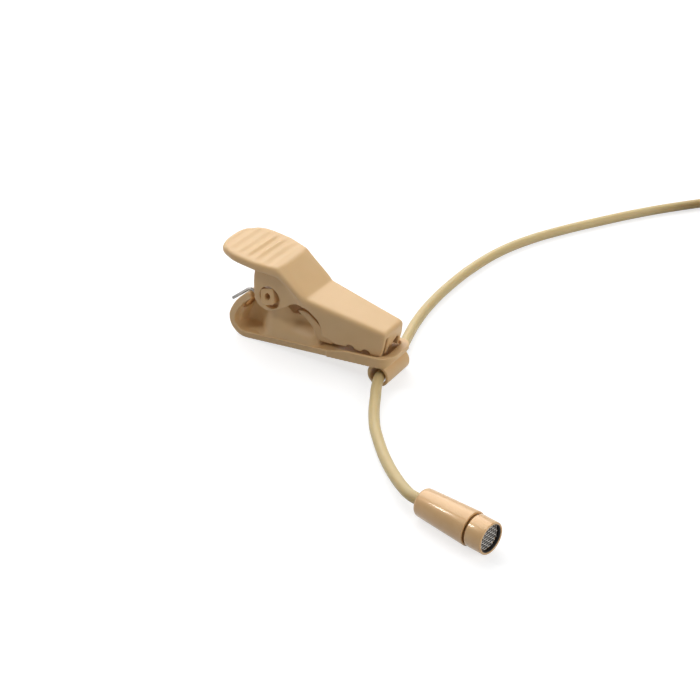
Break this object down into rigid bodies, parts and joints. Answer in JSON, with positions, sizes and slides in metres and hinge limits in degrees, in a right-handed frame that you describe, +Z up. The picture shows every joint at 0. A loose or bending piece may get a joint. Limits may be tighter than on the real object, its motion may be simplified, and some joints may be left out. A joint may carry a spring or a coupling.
{
  "type": "lavalier microphone",
  "caption": "Subminiature lavalier microphone head on a thin cable, with a spring clip for clothing and a latching connector.",
  "frame": {"origin": "centre of the base of the box round clip and head, on the surface they lie on", "axes": "+X along the clip from thumb pad to nose, +Z up"},
  "size_m": [0.0976, 0.1339, 0.0156],
  "materials": {
    "tan_plastic": "satin",
    "head_metal": "satin",
    "cable_jacket": "satin",
    "steel": "satin",
    "nickel": "satin",
    "brass": "satin",
    "black_plastic": "matte",
    "black_rubber": "matte",
    "white_plastic": "matte",
    "felt": "matte",
    "film": "polished",
    "board": "gloss"
  },
  "bodies": {
    "root": {"clip_lower_arm": "tan_plastic", "clip_spring": "steel", "head_body": "head_metal", "front_cap": "head_metal", "grille_mesh": "steel", "dust_felt": "felt", "capsule_can": "nickel", "diaphragm": "film", "diaphragm_ring": "brass", "spacer_ring": "black_plastic", "backplate": "brass", "backplate_holder": "white_plastic", "contact_ring": "brass", "circuit_board": "board", "transistor": "black_plastic", "lead_wires": "cable_jacket", "cable_crimp": "brass", "cable_end": "cable_jacket", "cable_lead": "cable_jacket", "cable_coil": "cable_jacket", "cable_tail": "cable_jacket", "coil_tie": "black_rubber", "plug_shell": "nickel", "plug_insert": "black_plastic", "plug_contacts": "brass", "plug_wires": "cable_jacket", "plug_cord_clamp": "nickel", "plug_boot": "black_rubber", "plug_cable_end": "cable_jacket", "plug_latch_spring": "steel"},
    "upper_arm": {"clip_upper_arm": "tan_plastic"},
    "latch": {"plug_latch": "steel"}
  },
  "joints": [
    {"name": "clip_hinge", "type": "hinge", "parent": "root", "child": "upper_arm", "pos_m": [-0.0217, 0.0125, 0.0089], "axis": [0, -1, 0], "range_deg": [0, 22], "stiffness_Nm_per_rad": 0.03, "springref_deg": -34.38, "deforming": ["clip_spring"]},
    {"name": "plug_latch_press", "type": "slide", "parent": "root", "child": "latch", "axis": [0, 0, -1], "range_m": [0, 0.0006], "stiffness_N_per_m": 400, "springref_m": -0.0005, "deforming": ["plug_latch_spring"]}
  ]
}
